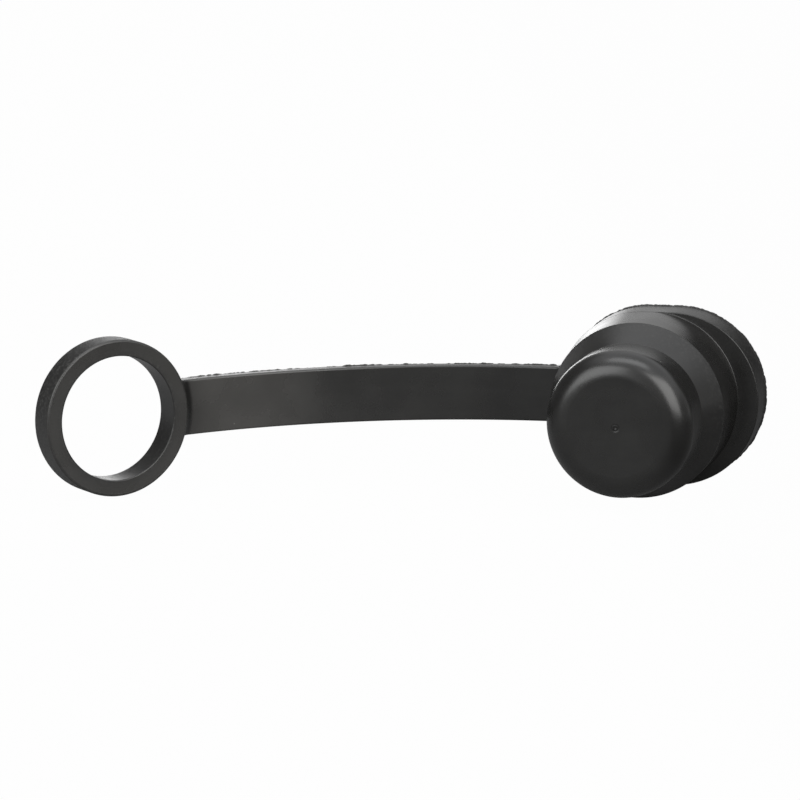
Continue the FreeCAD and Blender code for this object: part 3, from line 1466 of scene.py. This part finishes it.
@dataclass(frozen=True)
class Studio:
    """White sheet, soft lamps and a dim room with a white screen at the back left and a dark corner."""

    floor_half: float = 8.0
    floor_drop: float = 0.02 * MM
    left_wall: Colour = (0.15, 0.15, 0.15)
    right_wall: Colour = (0.32, 0.32, 0.32)
    front_wall: Colour = (0.55, 0.55, 0.55)
    back_wall: Colour = (0.62, 0.62, 0.62)
    ceiling: Colour = (1.06, 1.07, 1.09)
    screen: Colour = (3.80, 3.80, 3.80)
    dark_corner: Colour = (0.04, 0.04, 0.04)
    behind_from: Span = (0.40, 0.60)
    corner_left: Span = (0.00, 0.11)
    corner_right: Span = (0.66, 0.80)
    corner_top: Span = (0.50, 0.66)
    screen_left: Span = (-0.58, -0.50)
    screen_right: Span = (-0.32, -0.27)
    screen_top: Span = (0.17, 0.27)
    sides: Span = (-0.50, 0.50)
    front_end: Span = (-0.75, -0.45)
    back_wall_from: Span = (-0.50, -0.34)
    ceiling_from: Span = (0.50, 0.80)
    ceiling_lean: float = 0.25
    lamps: Tuple[SoftBox, ...] = (
        SoftBox("left_softbox", (-0.45, -0.87, 0.48), (0.80, 0.74), 3.3, (0.99, 1.0, 1.0)),
        SoftBox("right_softbox", (0.81, -0.65, 0.51), (0.88, 0.84), 3.6, (1.0, 0.99, 0.975)),
        SoftBox("top_softbox", (0.05, -0.23, 0.99), (0.75, 0.40), 2.7, (0.98, 0.99, 1.0)),
    )

    def build(self, material: bpy.types.Material, target: Vector, camera: bpy.types.Object) -> None:
        """Makes the floor, the lamps and the room.

        Args:
            material: the floor's finish.
            target: the point that the lamps look at.
            camera: the camera, which the floor is laid out from.
        """
        self.floor(material, camera)
        for lamp in self.lamps:
            lamp.build(target)
        self.room()

    def floor(self, material: bpy.types.Material, camera: bpy.types.Object) -> None:
        """Makes the floor just under the part, with its origin below the camera.

        Args:
            material: its finish.
            camera: the camera.
        """
        half = self.floor_half
        mesh = bpy.data.meshes.new("floor")
        corners = [(-half, -half, 0), (half, -half, 0), (half, half, 0), (-half, half, 0)]
        mesh.from_pydata(corners, [], [(0, 1, 2, 3)])
        mesh.materials.append(material)
        floor = linked("floor", mesh)
        eye = camera.matrix_world.translation
        ahead = camera.matrix_world.to_3x3() @ Vector((0.0, 0.0, -1.0))
        floor.location = (eye.x, eye.y, -self.floor_drop)
        floor.rotation_euler = (0.0, 0.0, math.atan2(-ahead.x, ahead.y))

    def room(self) -> None:
        """Makes the room's own light."""
        world = bpy.data.worlds.new("room")
        bpy.context.scene.world = world
        world.use_nodes = True
        graph = Graph(world.node_tree)
        way = graph.node("ShaderNodeTexCoord").outputs["Generated"]
        parts = graph.node("ShaderNodeSeparateXYZ", {}, {"Vector": way}).outputs
        across, away, up = (Value(graph, parts[axis]) for axis in "XYZ")
        behind = away.between(*self.behind_from)
        corner = behind * across.between(*self.corner_left) * (1.0 - across.between(*self.corner_right))
        corner = corner * (1.0 - up.between(*self.corner_top))
        screen = behind * across.between(*self.screen_left) * (1.0 - across.between(*self.screen_right))
        screen = screen * (1.0 - up.between(*self.screen_top))
        glow = graph.mixed(across.between(*self.sides), self.left_wall, self.right_wall)
        glow = graph.mixed(away.between(*self.front_end), self.front_wall, glow)
        glow = graph.mixed(behind * across.between(*self.back_wall_from), glow, self.back_wall)
        above = (up + across * self.ceiling_lean).between(*self.ceiling_from)
        glow = graph.mixed(above, glow, self.ceiling)
        glow = graph.mixed(corner, glow, self.dark_corner)
        glow = graph.mixed(screen, glow, self.screen)
        light = graph.node("ShaderNodeBackground", {}, {"Color": glow, "Strength": 1.0})
        graph.node("ShaderNodeOutputWorld", {}, {"Surface": light.outputs[0]})


# Assembly


def plug_place(record: Dict[str, Any], plug: Plug) -> Matrix:
    """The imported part's own placement, from the nose and ring that its record states.

    Args:
        record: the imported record.
        plug: the plug, whose nose the record places.

    Returns:
        From mm in the plug's frame to metres in the scene.
    """
    mounts = {mount["name"]: mount for mount in record["mounts"]}
    nose_way = Vector(mounts["nose"]["axis"]).normalized()
    ring_way = Vector(mounts["ring_bore"]["axis"]).normalized()
    along = -nose_way
    up = (ring_way.cross(nose_way)).normalized()
    if up.z < 0:
        up = -up
    across = along.cross(up)
    turn = Matrix((across, along, up)).transposed().to_4x4()
    taper = math.atan2(plug.body_radius - plug.nose_radius, plug.shoulder_length)
    foot = plug.shoulder_foot - plug.edge_round * math.tan(taper / 2)
    middle = (plug.nose_face + plug.nose_round + foot) / 2
    nose = Vector(mounts["nose"]["pos_m"]) - along * middle * MM
    return Matrix.Translation(nose) @ turn @ Matrix.Scale(MM, 4)


def main() -> None:
    """Builds the part, then the studio round it."""
    logging.basicConfig(level=logging.INFO, format="%(name)s: %(message)s")
    bpy.context.scene.view_settings.view_transform = "Standard"
    plug = Plug()
    place = plug_place(frame["record"], plug)
    moulding = Moulding(plug, RetainingRing(), Strap(), place)
    ring_middle = place @ Vector(moulding.ring_middle)
    rubber = SatinRubber(sheen_middle=tuple(ring_middle)).build()
    pieces = [moulding.build(rubber), PartingFlash(moulding).build(rubber)]
    for piece in pieces:
        LOG.info("%s: %d faces", piece.name, len(piece.data.polygons))
    nose = place @ Vector((0.0, plug.nose_face, 0.0))
    camera = PhotoCamera().build(nose)
    Studio().build(WhiteSheet().build(), nose, camera)


if __name__ == "__main__":
    main()
